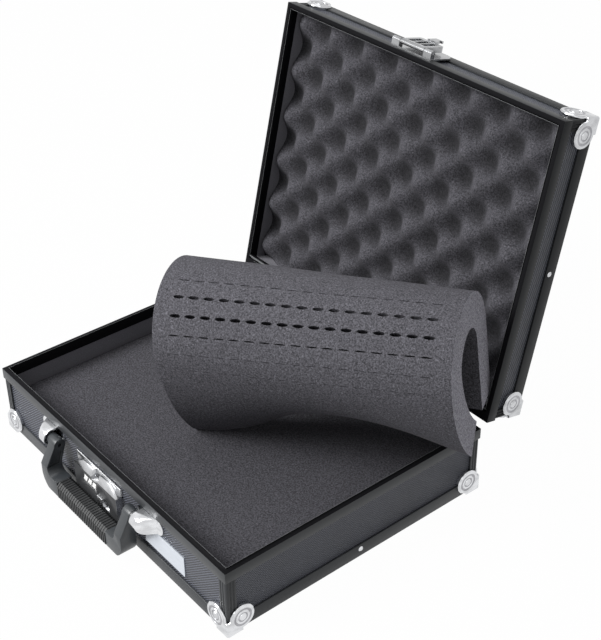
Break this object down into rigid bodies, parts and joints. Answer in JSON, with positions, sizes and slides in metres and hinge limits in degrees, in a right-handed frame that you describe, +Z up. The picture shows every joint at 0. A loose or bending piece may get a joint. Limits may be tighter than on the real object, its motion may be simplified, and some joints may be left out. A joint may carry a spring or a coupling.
{
  "type": "camera case",
  "caption": "Aluminium-framed hard camera case standing open, with corner caps, a combination lock, a swinging handle, and foam in its base and lid.",
  "frame": {"origin": "middle of the base on the floor it stands on, at the underside of the base's floor sheet", "axes": "+Z up, +Y from the handle and lock towards the hinges, +X to the right along the front"},
  "size_m": [0.3738, 0.3886, 0.3271],
  "materials": {
    "chrome": "polished",
    "dial_white": "gloss",
    "foam": "open-cell foam",
    "frame_black": "black satin anodised",
    "handle_black": "moulded satin",
    "lining": "short nap cloth",
    "lock_chrome": "satin chrome",
    "panel_black": "fine ribbed laminate",
    "plate": "satin",
    "sleeve_black": "ribbed satin",
    "steel": "satin"
  },
  "bodies": {
    "base": {"base_back_panel": "panel_black", "base_cap_back_left": "chrome", "base_cap_back_right": "chrome", "base_cap_front_left": "chrome", "base_cap_front_right": "chrome", "base_cap_rivets": "chrome", "base_foam": "foam", "base_front_panel": "panel_black", "base_left_panel": "panel_black", "base_lining": "lining", "base_panel": "panel_black", "base_post_back_left": "frame_black", "base_post_back_right": "frame_black", "base_post_front_left": "frame_black", "base_post_front_right": "frame_black", "base_right_panel": "panel_black", "base_rim": "frame_black", "base_side_rivets": "chrome", "base_trim": "frame_black", "handle_bracket_left": "chrome", "handle_bracket_right": "chrome", "handle_pins": "steel", "hinge_base_left": "steel", "hinge_base_right": "steel", "hinge_pins": "steel", "lock_axle": "steel", "lock_body": "lock_chrome", "name_plate": "plate"},
    "lid": {"hasp_pin": "steel", "hasp_plate": "lock_chrome", "hinge_lid_left": "steel", "hinge_lid_right": "steel", "lid_back_panel": "panel_black", "lid_cap_back_left": "chrome", "lid_cap_back_right": "chrome", "lid_cap_front_left": "chrome", "lid_cap_front_right": "chrome", "lid_cap_rivets": "chrome", "lid_foam": "foam", "lid_front_panel": "panel_black", "lid_left_panel": "panel_black", "lid_lining": "lining", "lid_panel": "panel_black", "lid_post_back_left": "frame_black", "lid_post_back_right": "frame_black", "lid_post_front_left": "frame_black", "lid_post_front_right": "frame_black", "lid_right_panel": "panel_black", "lid_rim": "frame_black", "lid_side_rivets": "chrome", "lid_trim": "frame_black"},
    "handle": {"handle": "handle_black", "handle_sleeve": "sleeve_black"},
    "hasp": {"hasp_flap": "lock_chrome"},
    "slider": {"lock_bolt": "steel", "lock_slider": "lock_chrome"},
    "dial_a": {"dial_1": "dial_white"},
    "dial_b": {"dial_2": "dial_white"},
    "dial_c": {"dial_3": "dial_white"},
    "block": {"foam_block": "foam"}
  },
  "joints": [
    {"name": "lid_hinge", "type": "hinge", "parent": "base", "child": "lid", "pos_m": [0, 0.1346, 0.0627], "axis": [-1, 0, 0], "range_deg": [-103.3, 0], "deforming": ["foam_block"]},
    {"name": "handle_hinge", "type": "hinge", "parent": "base", "child": "handle", "pos_m": [-0.008, -0.1365, 0.0462], "axis": [-1, 0, 0], "range_deg": [0, 100]},
    {"name": "hasp_hinge", "type": "hinge", "parent": "lid", "child": "hasp", "pos_m": [-0.008, 0.20485, 0.32466], "axis": [1, 0, 0], "range_deg": [0, 180]},
    {"name": "slider_slide", "type": "slide", "parent": "base", "child": "slider", "axis": [1, 0, 0], "range_m": [0, 0.007], "stiffness_N_per_m": 150},
    {"name": "dial_a_spin", "type": "hinge", "parent": "base", "child": "dial_a", "pos_m": [-0.0214, -0.1318, 0.034], "axis": [1, 0, 0], "continuous": true},
    {"name": "dial_b_spin", "type": "hinge", "parent": "base", "child": "dial_b", "pos_m": [-0.015, -0.1318, 0.034], "axis": [1, 0, 0], "continuous": true},
    {"name": "dial_c_spin", "type": "hinge", "parent": "base", "child": "dial_c", "pos_m": [-0.0086, -0.1318, 0.034], "axis": [1, 0, 0], "continuous": true},
    {"name": "block_slide", "type": "slide", "parent": "base", "child": "block", "axis": [-0.9182, -0.3961, 0], "range_m": [0, 0.071]}
  ],
  "couplings": [
    {"joint": "block_slide", "follows": "lid_hinge", "m_per_rad": -0.0393}
  ]
}
